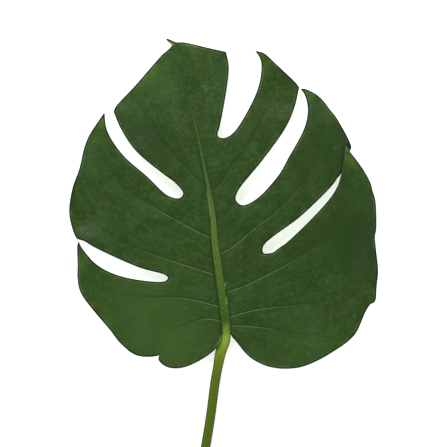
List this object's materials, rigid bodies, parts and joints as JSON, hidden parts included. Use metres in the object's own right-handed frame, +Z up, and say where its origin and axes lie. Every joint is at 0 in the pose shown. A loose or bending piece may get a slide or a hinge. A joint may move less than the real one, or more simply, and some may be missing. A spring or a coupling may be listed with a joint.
{
  "type": "monstera leaf",
  "caption": "Cut monstera leaf laid face up: broad heart-shaped blade with deep side slits, ribbed underneath, on a thick stalk with a swollen knee and a cut end.",
  "frame": {"origin": "on the surface it lies on, under the middle of the whole leaf with its stalk", "axes": "+Y from the cut end of the stalk towards the drip tip, +X to the right seen from above, +Z up from the upper face"},
  "size_m": [0.3098, 0.4556, 0.0162],
  "materials": {
    "blade": "satin, leathery dark green leaf surface with paler veins",
    "stalk": "satin, yellow-green stalk with fine lengthwise streaks"
  },
  "bodies": {
    "root": {"leaf_blade": "blade", "petiole": "stalk"}
  },
  "joints": []
}
